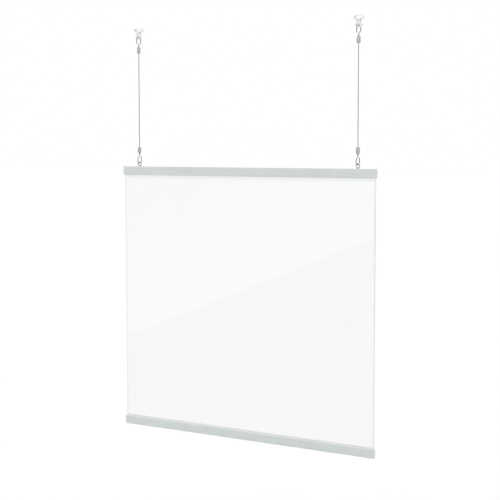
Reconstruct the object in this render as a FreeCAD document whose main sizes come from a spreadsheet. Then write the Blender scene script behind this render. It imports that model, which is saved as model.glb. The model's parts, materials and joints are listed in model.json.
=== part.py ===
import FreeCAD, Part
import math
import os
import re
import Sketcher

# Hanging screen: a clear sheet gripped between two hinged snap rails, hung by two steel cables
# from two scissor clips that hold the flange of a ceiling grid bar.
# The origin is midway between the clips, on the plane where the grid flange sits. X runs along
# the rails, the front faces -Y, and Z is up.

# Driving dimensions, in millimetres and degrees.
SIZES = {
    # Clear sheet
    "sheet_thick": 1.0,
    "sheet_show": 800.0,  # height seen between the rails
    "sheet_inset": 0.5,  # rail's end to the sheet's side edge
    "sheet_gap": 2.2,  # sheet's hidden edge to the floor of the eyelet slot
    # Snap rails
    "rail_length": 914.0,
    "rail_height": 28.0,
    "rear_wall": 1.6,
    "front_wall": 1.4,
    "edge_round": 2.0,
    "slot_mouth": 3.2,
    "slot_room": 6.0,  # width of the slot behind its mouth
    "slot_depth": 4.0,
    "slot_lip": 1.6,
    "slot_floor": 1.2,
    "slot_side": 1.2,
    "bead_radius": 1.0,  # hinge bead of the front half
    "bead_gap": 0.06,
    "socket_wall": 0.8,
    "socket_skin": 0.64,  # between the hinge socket and the eyelet slot
    "hinge_inset": 1.8,  # hinge to the front face
    "neck_thick": 1.0,
    "neck_angle": 238.0,
    "neck_drop": 2.34,  # hinge down to where the neck meets the inside of the front wall
    "jaw_opening": 50.0,
    "mouth_play": 8.0,
    "cover_drop": 1.04,  # hinge down to the upper edge of the front wall
    "pad_height": 8.0,  # gripping faces at the rail's open edge
    "upstand": 1.4,
    "jaw_web": 1.4,
    "jaw_end_gap": 0.3,
    # Ribbed grip strips
    "strip_thick": 1.2,
    "strip_height": 6.0,
    "rib_depth": 0.4,
    # End caps
    "cap_thick": 1.5,
    "cap_edge": 0.8,
    "peg_length": 10.0,
    "peg_gap": 0.2,
    "peg_thick": 1.6,
    # Sliding eyelets
    "eyelet_inset": 60.0,  # rail's end to the middle of the eyelet
    "ring_radius": 6.0,
    "ring_wire": 3.0,
    "ring_lift": 0.5,
    "foot_length": 16.0,
    "foot_thick": 1.8,
    "foot_gap": 0.15,
    "foot_side_gap": 0.2,
    "stem_length": 8.0,
    "stem_side_gap": 0.2,
    # Wire hooks
    "hook_wire": 3.0,
    "hook_radius": 7.0,
    "hook_straight": 6.0,
    "hook_sweep": 12.0,
    "hook_side": 7.3,
    "tip_side": 8.0,
    "tip_bend": 14.0,
    "tip_angle": 28.0,
    "tip_round": 0.9,
    "seat_gap": 0.3,
    "crown_gap": 0.9,  # lets the turned upper bend tip over the clip as it swings
    "upper_turn": 30.0,  # degrees about the cable, from square to the rails
    "lower_turn": 17.0,
    "head_thick": 2.0,
    "head_gap": 0.05,
    "head_side_gap": 0.7,
    "shank_gap": 0.1,
    # Cable end barrels
    "barrel_wall": 1.8,
    "barrel_edge": 1.0,
    "end_wall": 5.0,
    "chamber_play": 1.5,  # hook's head to the ferrule
    "plug_wide": 8.0,
    "plug_length": 5.0,
    "plug_ledge": 0.6,
    "plug_gap": 0.03,
    "collar_wide": 5.6,
    "collar_rise": 5.0,
    "collar_taper": 0.5,
    "ferrule_length": 5.4,
    "ferrule_gap": 0.05,
    "ferrule_side_gap": 0.9,
    "crimp_gap": 0.02,
    # Cables
    "cable_wide": 3.0,
    "cable_show": 302.0,  # length seen between two barrels
    "cable_gap": 0.15,
    "cable_stub": 0.4,
    # Ceiling clips
    "grid_width": 24.0,
    "grid_gap": 0.3,
    "throat": 4.6,
    "lip_reach": 9.6,
    "lip_rise": 2.0,
    "lip_thick": 2.2,
    "lip_nose": 1.2,
    "jaw_wall": 3.0,
    "jaw_depth": 12.0,
    "jaw_round": 1.5,
    "seat_thick": 2.8,
    "seat_reach": 9.0,
    "pivot_drop": 14.0,
    "arm_thick": 2.4,
    "arm_gap": 0.15,
    "arm_past": 1.0,  # beyond the clip's middle line
    "arm_under": 1.2,  # below the grid flange
    "hub_half": 7.0,
    "neck_half": 9.0,
    "kidney_outer": 10.06,
    "kidney_play": 0.93,  # hook's bend to the top of the slot
    "kidney_half": 57.0,
    "web_thick": 3.2,
    "lobe_margin": 10.0,  # degrees beyond the slot's end
    "tab_root": 4.5,
    "tab_reach": 13.5,
    "tab_low": 4.5,
    "tab_thick": 3.0,
    "tab_depth": 6.0,
    "tab_round": 1.0,
    "mould_round": 0.5,
    "pin_wide": 4.0,
    "pin_gap": 0.06,
    "rivet_wide": 7.2,
    "rivet_rise": 1.2,
    "rivet_gap": 0.1,
}

RIBS = 3
LEFT = 1
RIGHT = -1
SIDES = {"left": -1, "right": 1}

doc = FreeCAD.newDocument("hanging_screen")
sheet = doc.addObject("Spreadsheet::Sheet", "Sizes")
for row, (alias, number) in enumerate(SIZES.items(), start=1):
    sheet.set(f"A{row}", str(number))
    sheet.setAlias(f"A{row}", alias)
doc.recompute()

SIZE_WORD = re.compile(r"\b(" + "|".join(SIZES) + r")\b")
subparts = []


def cells(formula):
    """Formula in the sheet's words, with each word turned into a reference to its cell."""
    return SIZE_WORD.sub(r"Sizes.\1", formula)


def amount(formula):
    """Number that a formula gives with the sheet's present sizes."""
    return float(sheet.evalExpression(cells(formula)))


# Levels, from the grid flange down to the bottom rail.
WEB_TOP = "(0 - pivot_drop - kidney_outer)"
STACK_HALF = "(arm_gap + arm_thick)"
HOOK_INSIDE = "(hook_radius - hook_wire / 2)"
HOOK_DROP = "(hook_straight + hook_sweep + hook_side)"
SEAT_BOWL = f"(kidney_outer - sqrt(kidney_outer^2 - ({STACK_HALF} * tan(upper_turn))^2))"
SEAT_HALF = f"({STACK_HALF} / cos(upper_turn))"
LOOP_RISE = f"(sqrt(({HOOK_INSIDE} - crown_gap)^2 - {SEAT_HALF}^2) - {SEAT_BOWL})"
SHANK_IN = "(plug_length + head_gap + head_thick)"
BARREL_LENGTH = f"({SHANK_IN} + chamber_play + ferrule_length + ferrule_gap + end_wall)"
UPPER_LOOP = f"({WEB_TOP} - {LOOP_RISE})"
UPPER_FACE = f"({UPPER_LOOP} - {HOOK_DROP})"
LOWER_FACE = f"({UPPER_FACE} - 2 * {BARREL_LENGTH} - cable_show)"
LOWER_LOOP = f"({LOWER_FACE} - {HOOK_DROP})"
RING_LEVEL = f"({LOWER_LOOP} - {HOOK_INSIDE} + seat_gap + ring_wire / 2 - ring_radius)"
TOP_RAIL = f"({RING_LEVEL} - ring_radius - ring_wire / 2 - ring_lift)"
BOTTOM_RAIL = f"({TOP_RAIL} - 2 * rail_height - sheet_show)"

# The cables hang in line with the eyelets.
EYELET_X = "(rail_length / 2 - eyelet_inset)"

# Places in a rail's section, across (Y) and up (Z) from the middle of its closed edge.
PAD_FACE = "(sheet_thick / 2 + strip_thick)"
SOCKET = "(bead_radius + bead_gap)"
HINGE_Y = f"(0 - slot_room / 2 - socket_skin - {SOCKET})"
RAIL_FRONT = f"(hinge_inset - {HINGE_Y})"
RAIL_REAR = "(slot_room / 2 + rear_wall)"
SOCKET_OUT = "(bead_radius + bead_gap + socket_wall)"
HINGE_Z = f"(0 - {SOCKET_OUT})"
SLOT_BOTTOM = "(0 - slot_lip - slot_depth)"
FLOOR_UNDER = f"({SLOT_BOTTOM} - slot_floor)"
PAD_TOP = "(pad_height - rail_height)"
PAD_SLOPE = f"(slot_room / 2 - {PAD_FACE})"
SHEET_TUCK = f"(rail_height + {FLOOR_UNDER} - sheet_gap)"

# Widths inside a barrel.
CHAMBER_WIDE = "(plug_wide - 2 * plug_ledge)"
BARREL_WIDE = "(plug_wide + 2 * barrel_wall)"


def on_circle(centre, radius, angle):
    """Point on a circle, as a pair of formulas; centre is a pair and angle a formula in degrees."""
    return (f"{centre[0]} + {radius} * cos({angle})", f"{centre[1]} + {radius} * sin({angle})")


def arc_between(start, end, radius, turn, wide):
    """Arc from start to end that turns to the given side; a wide arc is over a half circle."""
    along = end - start
    side = FreeCAD.Vector(-along.y, along.x, 0).normalize()
    rise = math.sqrt(max(radius**2 - along.Length**2 / 4, 0))
    toward = -turn if wide else turn
    centre = (start + end) * 0.5 + side * (toward * rise)
    first, last = (start, end) if turn == LEFT else (end, start)
    angles = [math.atan2(point.y - centre.y, point.x - centre.x) for point in (first, last)]
    circle = Part.Circle(centre, FreeCAD.Vector(0, 0, 1), radius)
    return Part.ArcOfCircle(circle, angles[0], angles[1])


def pin_down(sketch, kind, where, formula):
    """Dimension in a sketch, bound to a formula."""
    index = sketch.addConstraint(Sketcher.Constraint(kind, *where, amount(formula)))
    sketch.setExpression(f"Constraints[{index}]", cells(formula))


def add_chain(sketch, corners, closed=True):
    """Lines and arcs through corners (across, up) or (across, up, radius, turn[, wide]).

    The last three say how the stretch after that corner curves.
    """
    points = [FreeCAD.Vector(amount(corner[0]), amount(corner[1]), 0) for corner in corners]
    count = len(corners) if closed else len(corners) - 1
    ends = []
    for step in range(count):
        start = points[step]
        end = points[(step + 1) % len(points)]
        bend = corners[step][2:]
        if bend:
            radius = amount(bend[0])
            curve = arc_between(start, end, radius, bend[1], len(bend) > 2)
            turned = bend[1] == RIGHT
        else:
            curve = Part.LineSegment(start, end)
            turned = False
        piece = sketch.addGeometry(curve)
        ends.append((piece, 2, 1) if turned else (piece, 1, 2))
    for step in range(count if closed else count - 1):
        piece, _, tail = ends[step]
        follower, head, _ = ends[(step + 1) % count]
        sketch.addConstraint(Sketcher.Constraint("Coincident", piece, tail, follower, head))
    places = [(piece, head) for piece, head, _ in ends]
    if not closed:
        places.append((ends[-1][0], ends[-1][2]))
    for (piece, spot), corner in zip(places, corners):
        pin_down(sketch, "DistanceX", (-1, 1, piece, spot), corner[0])
        pin_down(sketch, "DistanceY", (-1, 1, piece, spot), corner[1])
    for (piece, _, _), corner in zip(ends, corners):
        if len(corner) > 2:
            pin_down(sketch, "Radius", (piece,), corner[2])


def add_circle(sketch, radius):
    """Circle about the sketch's origin."""
    circle = Part.Circle(FreeCAD.Vector(), FreeCAD.Vector(0, 0, 1), amount(radius))
    piece = sketch.addGeometry(circle)
    sketch.addConstraint(Sketcher.Constraint("Coincident", piece, 3, -1, 1))
    pin_down(sketch, "Radius", (piece,), radius)


def new_body(label):
    """Empty body that becomes one sub-part."""
    body = doc.addObject("PartDesign::Body", label)
    body.Label = label
    subparts.append(body)
    return body


def new_sketch(body, role, offset=None):
    """Sketch on one of the body's origin planes, moved along the plane's normal by offset."""
    sketch = body.newObject("Sketcher::SketchObject", f"{body.Name}_sketch")
    plane = next(item for item in body.Origin.OriginFeatures if item.Role == role)
    sketch.AttachmentSupport = [(plane, "")]
    sketch.MapMode = "FlatFace"
    if offset is not None:
        sketch.setExpression("AttachmentOffset.Base.z", cells(offset))
    return sketch


def chain_sketch(body, role, corners, offset=None):
    """Sketch that holds one closed chain of corners."""
    sketch = new_sketch(body, role, offset)
    add_chain(sketch, corners)
    return sketch


def pad(body, sketch, length, both_ways=False, backwards=False):
    """Pad of a sketch along its plane's normal."""
    feature = body.newObject("PartDesign::Pad", f"{body.Name}_pad")
    feature.Profile = sketch
    feature.setExpression("Length", cells(length))
    feature.SideType = "Symmetric" if both_ways else "One side"
    feature.Reversed = backwards
    return feature


def revolve(body, corners):
    """Full turn about Z of a half section given as corners (radius, up)."""
    sketch = chain_sketch(body, "XZ_Plane", corners)
    feature = body.newObject("PartDesign::Revolution", f"{body.Name}_turn")
    feature.Profile = sketch
    feature.ReferenceAxis = (sketch, ["V_Axis"])
    feature.Angle = 360
    return feature


def fillet(body, base, chosen, radius):
    """Fillet on the edges of a feature that the test chooses."""
    doc.recompute()
    names = [f"Edge{number}" for number, edge in enumerate(base.Shape.Edges, 1) if chosen(edge)]
    feature = body.newObject("PartDesign::Fillet", f"{body.Name}_fillet")
    feature.Base = (base, names)
    feature.setExpression("Radius", cells(radius))
    return feature


def place(item, across, depth, level, rotation=FreeCAD.Rotation()):
    """Placement with its position bound to three formulas."""
    item.Placement = FreeCAD.Placement(FreeCAD.Vector(), rotation)
    for axis, formula in zip("xyz", (across, depth, level)):
        item.setExpression(f"Placement.Base.{axis}", cells(formula))


def primitive(kind, name, sizes, at=("0", "0", "0"), rotation=FreeCAD.Rotation()):
    """Part primitive with its sizes and its position bound to formulas."""
    item = doc.addObject(kind, name)
    for key, formula in sizes.items():
        item.setExpression(key, cells(formula))
    place(item, *at, rotation)
    return item


def turned_about(axis, angle):
    """Rotation about one of the axes, in degrees."""
    return FreeCAD.Rotation(FreeCAD.Vector(*axis), angle)


UPRIGHT = FreeCAD.Rotation()
HALF_ABOUT_X = turned_about((1, 0, 0), 180)
HALF_ABOUT_Y = turned_about((0, 1, 0), 180)
HALF_ABOUT_Z = turned_about((0, 0, 1), 180)
Y_ALONG_AXIS = turned_about((1, 0, 0), 90)

# Both rails are the same extrusions; the bottom rail is the top one turned over.
RAILS = {"top": (TOP_RAIL, UPRIGHT), "bottom": (BOTTOM_RAIL, HALF_ABOUT_Y)}


def rail_back(label, level, rotation):
    """Rear half of a rail: eyelet slot, hinge socket, rear wall and gripping face."""
    half_neck = f"asin(neck_thick / 2 / {SOCKET})"
    mouth_lower = f"((neck_angle + mouth_play) * 1 deg + {half_neck})"
    mouth_upper = f"((neck_angle - jaw_opening - mouth_play) * 1 deg - {half_neck})"
    hinge = (HINGE_Y, HINGE_Z)
    slot_front = "(0 - slot_room / 2 - slot_side)"
    socket_under = f"{HINGE_Z} - sqrt({SOCKET_OUT}^2 - ({slot_front} - {HINGE_Y})^2)"
    body = new_body(label)
    section = [
        ("slot_mouth / 2", "0"),
        (f"{RAIL_REAR} - edge_round", "0", "edge_round", RIGHT),
        (RAIL_REAR, "-edge_round"),
        (RAIL_REAR, "edge_round - rail_height", "edge_round", RIGHT),
        (f"{RAIL_REAR} - edge_round", "-rail_height"),
        (PAD_FACE, "-rail_height"),
        (PAD_FACE, PAD_TOP),
        ("slot_room / 2", f"{PAD_TOP} + {PAD_SLOPE}"),
        ("slot_room / 2", FLOOR_UNDER),
        (slot_front, FLOOR_UNDER),
        (slot_front, socket_under, SOCKET_OUT, RIGHT),
        on_circle(hinge, SOCKET_OUT, mouth_lower),
        (*on_circle(hinge, SOCKET, mouth_lower), SOCKET, LEFT, "wide"),
        on_circle(hinge, SOCKET, mouth_upper),
        (*on_circle(hinge, SOCKET_OUT, mouth_upper), SOCKET_OUT, RIGHT),
        (HINGE_Y, "0"),
        ("-slot_mouth / 2", "0"),
        ("-slot_mouth / 2", "-slot_lip"),
        ("-slot_room / 2", "-slot_lip"),
        ("-slot_room / 2", SLOT_BOTTOM),
        ("slot_room / 2", SLOT_BOTTOM),
        ("slot_room / 2", "-slot_lip"),
        ("slot_mouth / 2", "-slot_lip"),
    ]
    pad(body, chain_sketch(body, "YZ_Plane", section), "rail_length", both_ways=True)
    place(body, "0", "0", level, rotation)


def rail_front(label, level, rotation):
    """Front half of a rail: hinge bead, front wall and an upstand that grips the sheet."""
    half_neck = "asin(neck_thick / 2 / bead_radius)"
    hinge = (HINGE_Y, HINGE_Z)
    outside = f"(0 - {RAIL_FRONT})"
    inside = f"(front_wall + {outside})"
    upstand_front = f"(0 - {PAD_FACE} - upstand)"
    web_top = "jaw_web - rail_height"
    body = new_body(label)
    section = [
        on_circle(hinge, "bead_radius", f"(neck_angle * 1 deg - {half_neck})"),
        (outside, f"{HINGE_Z} - cover_drop"),
        (outside, "edge_round - rail_height", "edge_round", LEFT),
        (f"edge_round + {outside}", "-rail_height"),
        (f"-{PAD_FACE}", "-rail_height"),
        (f"-{PAD_FACE}", PAD_TOP),
        (upstand_front, PAD_TOP),
        (upstand_front, web_top),
        (inside, web_top),
        (inside, f"{HINGE_Z} - neck_drop"),
        (
            *on_circle(hinge, "bead_radius", f"(neck_angle * 1 deg + {half_neck})"),
            "bead_radius",
            LEFT,
            "wide",
        ),
    ]
    sketch = chain_sketch(body, "YZ_Plane", section)
    pad(body, sketch, "rail_length - 2 * jaw_end_gap", both_ways=True)
    place(body, "0", "0", level, rotation)


def grip_strip(label, level, rotation, facing):
    """Ribbed strip between a gripping face and the sheet; facing is -1 in front, 1 behind."""
    root = f"{facing} * (sheet_thick / 2 + rib_depth)"
    tip = f"{facing} * sheet_thick / 2"
    seat = f"{facing} * {PAD_FACE}"
    low = f"({PAD_TOP} - pad_height / 2 - strip_height / 2)"
    pitch = f"(strip_height / {RIBS})"
    body = new_body(label)
    section = [(seat, f"{low} + strip_height"), (seat, low)]
    for rib in range(RIBS):
        foot = f"{low} + {rib} * {pitch}"
        section.append((root, foot))
        section.append((tip, f"{foot} + {pitch} / 4"))
        section.append((tip, f"{foot} + 3 * {pitch} / 4"))
    section.append((root, f"{low} + strip_height"))
    sketch = chain_sketch(body, "YZ_Plane", section)
    pad(body, sketch, "rail_length - 2 * jaw_end_gap", both_ways=True)
    place(body, "0", "0", level, rotation)


def end_cap(label, level, rotation, side):
    """Moulded cap on a rail's end, with two pegs that plug into the rear half."""
    outward = side * (-1 if rotation == HALF_ABOUT_Y else 1)
    half_slot = "(slot_room / 2 - peg_gap)"
    body = new_body(label)
    plate = [
        (f"edge_round - {RAIL_FRONT}", "0", "edge_round", LEFT),
        (f"-{RAIL_FRONT}", "-edge_round"),
        (f"-{RAIL_FRONT}", "edge_round - rail_height", "edge_round", LEFT),
        (f"edge_round - {RAIL_FRONT}", "-rail_height"),
        (f"{RAIL_REAR} - edge_round", "-rail_height", "edge_round", LEFT),
        (RAIL_REAR, "edge_round - rail_height"),
        (RAIL_REAR, "-edge_round", "edge_round", LEFT),
        (f"{RAIL_REAR} - edge_round", "0"),
    ]
    slot_peg = [
        (f"-{half_slot}", "-slot_lip - peg_gap"),
        (f"-{half_slot}", f"{SLOT_BOTTOM} + peg_gap"),
        (half_slot, f"{SLOT_BOTTOM} + peg_gap"),
        (half_slot, "-slot_lip - peg_gap"),
    ]
    wall_peg = [
        (half_slot, f"{FLOOR_UNDER} - peg_gap"),
        (f"{half_slot} - peg_thick", f"{FLOOR_UNDER} - peg_gap"),
        (f"{half_slot} - peg_thick", f"{PAD_TOP} + {PAD_SLOPE} + peg_gap"),
        (half_slot, f"{PAD_TOP} + {PAD_SLOPE} + peg_gap"),
    ]
    face = pad(body, chain_sketch(body, "YZ_Plane", plate), "cap_thick", backwards=outward < 0)
    face_x = outward * amount("cap_thick")
    near = amount("cap_edge") / 10
    fillet(body, face, lambda edge: abs(edge.CenterOfMass.x - face_x) < near, "cap_edge")
    for peg in (slot_peg, wall_peg):
        pad(body, chain_sketch(body, "YZ_Plane", peg), "peg_length", backwards=outward > 0)
    place(body, f"{side} * rail_length / 2", "0", level, rotation)


def clear_panel():
    """Clear sheet, tucked into both rails."""
    width = "(rail_length - 2 * sheet_inset)"
    height = f"(sheet_show + 2 * {SHEET_TUCK})"
    low = f"{TOP_RAIL} - rail_height - sheet_show - {SHEET_TUCK}"
    panel = primitive(
        "Part::Box",
        "clear_panel",
        {"Length": width, "Width": "sheet_thick", "Height": height},
        (f"-{width} / 2", "-sheet_thick / 2", low),
    )
    subparts.append(panel)


def eyelet(label, side):
    """Cast ring on a stem, with a foot that slides in the top rail's slot."""
    stem_width = "(slot_mouth - 2 * stem_side_gap)"
    foot_width = "(slot_room - 2 * foot_side_gap)"
    foot_top = "(0 - slot_lip - foot_gap)"
    ring_up = "(ring_lift + ring_wire / 2 + ring_radius)"
    ring = primitive(
        "Part::Torus",
        f"{label}_ring",
        {"Radius1": "ring_radius", "Radius2": "ring_wire / 2"},
        ("0", "0", ring_up),
        Y_ALONG_AXIS,
    )
    stem = primitive(
        "Part::Box",
        f"{label}_stem",
        {
            "Length": "stem_length",
            "Width": stem_width,
            "Height": f"ring_lift + ring_wire / 2 - {foot_top}",
        },
        ("-stem_length / 2", f"-{stem_width} / 2", foot_top),
    )
    foot = primitive(
        "Part::Box",
        f"{label}_foot",
        {"Length": "foot_length", "Width": foot_width, "Height": "foot_thick"},
        ("-foot_length / 2", f"-{foot_width} / 2", f"{foot_top} - foot_thick"),
    )
    pillar = doc.addObject("Part::Fuse", f"{label}_pillar")
    pillar.Base = stem
    pillar.Tool = foot
    whole = doc.addObject("Part::Fuse", label)
    whole.Base = pillar
    whole.Tool = ring
    whole.Label = label
    place(whole, f"{side} * {EYELET_X}", "0", TOP_RAIL)
    subparts.append(whole)


# Hooks, barrels, plugs and ferrules share one local frame: the origin is at the middle of the
# barrel's face on the hook's side, and up is away from the cable. Lower ones are turned over.
def hook(label, side, level, rotation):
    """Wire hook: a head inside the barrel, a swept shank, a round bend and a tip that leans in."""
    head_wide = f"({CHAMBER_WIDE} - 2 * head_side_gap)"
    sweep_bend = "((hook_sweep^2 + hook_radius^2) / (4 * hook_radius))"
    tip_low = f"({HOOK_DROP} - tip_side - tip_bend * sin(tip_angle))"
    tip_out = "(tip_bend * (1 - cos(tip_angle)) - hook_radius)"
    body = new_body(label)
    path = new_sketch(body, "YZ_Plane")
    bends = [
        ("0", f"-{SHANK_IN}"),
        ("0", "hook_straight", sweep_bend, RIGHT),
        ("hook_radius / 2", "hook_straight + hook_sweep / 2", sweep_bend, LEFT),
        ("hook_radius", "hook_straight + hook_sweep"),
        ("hook_radius", HOOK_DROP, "hook_radius", LEFT),
        ("0", f"{HOOK_DROP} + hook_radius", "hook_radius", LEFT),
        ("-hook_radius", HOOK_DROP),
        ("-hook_radius", f"{HOOK_DROP} - tip_side", "tip_bend", LEFT),
        (tip_out, tip_low),
    ]
    add_chain(path, bends, closed=False)
    wire = new_sketch(body, "XY_Plane", f"-{SHANK_IN}")
    add_circle(wire, "hook_wire / 2")
    doc.recompute()
    pipe = body.newObject("PartDesign::AdditivePipe", f"{label}_wire")
    pipe.Profile = wire
    pipe.Spine = (path, [f"Edge{number}" for number in range(1, len(bends))])
    tip = FreeCAD.Vector(0, amount(tip_out), amount(tip_low))
    near = amount("hook_wire") / 4
    fillet(body, pipe, lambda edge: (edge.CenterOfMass - tip).Length < near, "tip_round")
    head = new_sketch(body, "XY_Plane", f"-{SHANK_IN}")
    add_circle(head, f"{head_wide} / 2")
    pad(body, head, "head_thick")
    place(body, f"{side} * {EYELET_X}", "0", level, rotation)


def barrel(label, side, level, rotation):
    """Turned barrel: end wall with the cable hole, chamber, and a seat for the plug."""
    body = new_body(label)
    outer = f"({BARREL_WIDE} / 2)"
    far_end = f"(0 - {BARREL_LENGTH})"
    inner_end = f"({far_end} + end_wall)"
    section = [
        ("plug_wide / 2", "0"),
        (f"{outer} - barrel_edge", "0", "barrel_edge", RIGHT),
        (outer, "-barrel_edge"),
        (outer, f"{far_end} + barrel_edge", "barrel_edge", RIGHT),
        (f"{outer} - barrel_edge", far_end),
        ("cable_wide / 2 + cable_gap", far_end),
        ("cable_wide / 2 + cable_gap", inner_end),
        (f"{CHAMBER_WIDE} / 2", inner_end),
        (f"{CHAMBER_WIDE} / 2", "-plug_length"),
        ("plug_wide / 2", "-plug_length"),
    ]
    revolve(body, section)
    place(body, f"{side} * {EYELET_X}", "0", level, rotation)


def barrel_plug(label, side, level, rotation):
    """Plug that closes a barrel behind the hook's head, with a tapered collar round the shank."""
    outer = "plug_wide / 2 - plug_gap"
    bore = "hook_wire / 2 + shank_gap"
    body = new_body(label)
    section = [
        (bore, "-plug_length"),
        (outer, "-plug_length"),
        (outer, "0"),
        ("collar_wide / 2", "0"),
        ("collar_wide / 2 - collar_taper", "collar_rise"),
        (bore, "collar_rise"),
    ]
    revolve(body, section)
    place(body, f"{side} * {EYELET_X}", "0", level, rotation)


def ferrule(label, side, level, rotation):
    """Ferrule crimped on the cable's end, which bears on the barrel's end wall."""
    outer = f"{CHAMBER_WIDE} / 2 - ferrule_side_gap"
    bore = "cable_wide / 2 + crimp_gap"
    low = f"end_wall + ferrule_gap - {BARREL_LENGTH}"
    body = new_body(label)
    section = [
        (bore, low),
        (outer, low),
        (outer, f"{low} + ferrule_length"),
        (bore, f"{low} + ferrule_length"),
    ]
    revolve(body, section)
    place(body, f"{side} * {EYELET_X}", "0", level, rotation)


def cable(label, side):
    """Steel cable, through both end walls and both ferrules."""
    hidden = "(end_wall + ferrule_gap + ferrule_length + cable_stub)"
    rope = primitive(
        "Part::Cylinder",
        label,
        {"Radius": "cable_wide / 2", "Height": f"cable_show + 2 * {hidden}"},
        (f"{side} * {EYELET_X}", "0", f"{LOWER_FACE} + {BARREL_LENGTH} - {hidden}"),
    )
    subparts.append(rope)


def clip_arm(label, side, rotation):
    """One arm of a scissor clip: hub, upper jaw, lower lobe with a kidney slot, and finger tab.

    Both arms are the same moulding; the rear one is turned half a turn about Z.
    """
    grid_half = "(grid_width / 2 + grid_gap)"
    lobe = "(kidney_outer + web_thick)"
    kidney_inner = f"(kidney_outer + {LOOP_RISE} - hook_radius - hook_wire / 2 - kidney_play)"
    lobe_left = "(270 - kidney_half - lobe_margin)"
    lobe_right = "(270 + kidney_half + lobe_margin)"
    seat_in = f"(seat_reach - {grid_half})"
    seat_under = "(pivot_drop - seat_thick)"
    jaw_out = f"(0 - {grid_half} - jaw_wall)"
    lip_in = f"(lip_reach - {grid_half})"
    lip_under = "(pivot_drop + throat)"
    lip_top = f"({lip_under} + lip_thick)"
    tab_top = "(tab_thick - tab_low)"
    middle = ("0", "0")
    body = new_body(label)
    plate = new_sketch(body, "XZ_Plane", "arm_gap")
    outline = [
        (*on_circle(middle, lobe, lobe_left), lobe, LEFT),
        on_circle(middle, lobe, lobe_right),
        ("hub_half", "0"),
        ("arm_past", "pivot_drop - arm_under"),
        ("-neck_half", f"{seat_under} + seat_thick / 2"),
        ("-hub_half", "0"),
    ]
    kidney = [
        (*on_circle(middle, "kidney_outer", "(270 - kidney_half)"), "kidney_outer", LEFT),
        on_circle(middle, "kidney_outer", "(270 + kidney_half)"),
        (*on_circle(middle, kidney_inner, "(270 + kidney_half)"), kidney_inner, RIGHT),
        on_circle(middle, kidney_inner, "(270 - kidney_half)"),
    ]
    jaw = [
        (seat_in, "pivot_drop"),
        (f"-{grid_half}", "pivot_drop"),
        (f"-{grid_half}", lip_under),
        (lip_in, f"{lip_under} + lip_rise"),
        (lip_in, f"{lip_top} + lip_rise - lip_nose"),
        (f"{lip_in} - lip_nose", f"{lip_top} + lip_rise"),
        (f"{jaw_out} + jaw_round", lip_top, "jaw_round", LEFT),
        (jaw_out, f"{lip_top} - jaw_round"),
        (jaw_out, f"{seat_under} + jaw_round", "jaw_round", LEFT),
        (f"{jaw_out} + jaw_round", seat_under),
        (seat_in, seat_under),
    ]
    tab = [
        ("tab_root", "-tab_low"),
        ("tab_reach - tab_round", "-tab_low", "tab_round", LEFT),
        ("tab_reach", "tab_round - tab_low"),
        ("tab_reach", f"{tab_top} - tab_round", "tab_round", LEFT),
        ("tab_reach - tab_round", tab_top),
        ("tab_root", tab_top),
    ]
    add_chain(plate, outline)
    add_chain(plate, kidney)
    add_circle(plate, "pin_wide / 2 + pin_gap")
    plate_front = amount(f"-{STACK_HALF}")
    jaw_end = amount("jaw_depth / 2")
    tab_front = amount("-tab_depth")
    near = amount("mould_round") / 10

    def on_outer_face(edge):
        """Outline of the plate's outer face, apart from the lobe's straight sides and the pivot hole."""
        spot = edge.CenterOfMass
        straight_side = spot.z < 0 and isinstance(edge.Curve, Part.Line)
        hole = len(edge.Vertexes) == 1
        return abs(spot.y - plate_front) < near and not straight_side and not hole

    web = pad(body, plate, "arm_thick")
    fillet(body, web, on_outer_face, "mould_round")
    grip = pad(body, chain_sketch(body, "XZ_Plane", jaw), "jaw_depth", both_ways=True)
    fillet(
        body,
        grip,
        lambda edge: abs(abs(edge.CenterOfMass.y) - jaw_end) < near,
        "mould_round",
    )
    lever = pad(body, chain_sketch(body, "XZ_Plane", tab, "arm_gap"), "tab_depth - arm_gap")
    fillet(
        body,
        lever,
        lambda edge: abs(edge.CenterOfMass.y - tab_front) < near and edge.CenterOfMass.x > 0,
        "mould_round",
    )
    place(body, f"{side} * {EYELET_X}", "0", "-pivot_drop", rotation)


def clip_pin(label, side):
    """Rivet with two domed heads, on which both arms of a clip turn."""
    grip = f"({STACK_HALF} + rivet_gap)"
    dome = "(((rivet_wide / 2)^2 + rivet_rise^2) / (2 * rivet_rise))"
    body = new_body(label)
    section = [
        ("0", f"{grip} + rivet_rise", dome, RIGHT),
        ("rivet_wide / 2", grip),
        ("pin_wide / 2", grip),
        ("pin_wide / 2", f"-{grip}"),
        ("rivet_wide / 2", f"-{grip}", dome, RIGHT),
        ("0", f"-{grip} - rivet_rise"),
    ]
    revolve(body, section)
    place(body, f"{side} * {EYELET_X}", "0", "-pivot_drop", Y_ALONG_AXIS)


def build_rails():
    """Both rails with their caps and strips, and the sheet between them."""
    for name, (level, rotation) in RAILS.items():
        rail_back(f"{name}_rail_back", level, rotation)
        rail_front(f"{name}_rail_front", level, rotation)
        grip_strip(f"{name}_rail_front_grip", level, rotation, -1)
        grip_strip(f"{name}_rail_back_grip", level, rotation, 1)
        for side_name, side in SIDES.items():
            end_cap(f"{name}_rail_{side_name}_cap", level, rotation, side)
    clear_panel()


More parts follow.
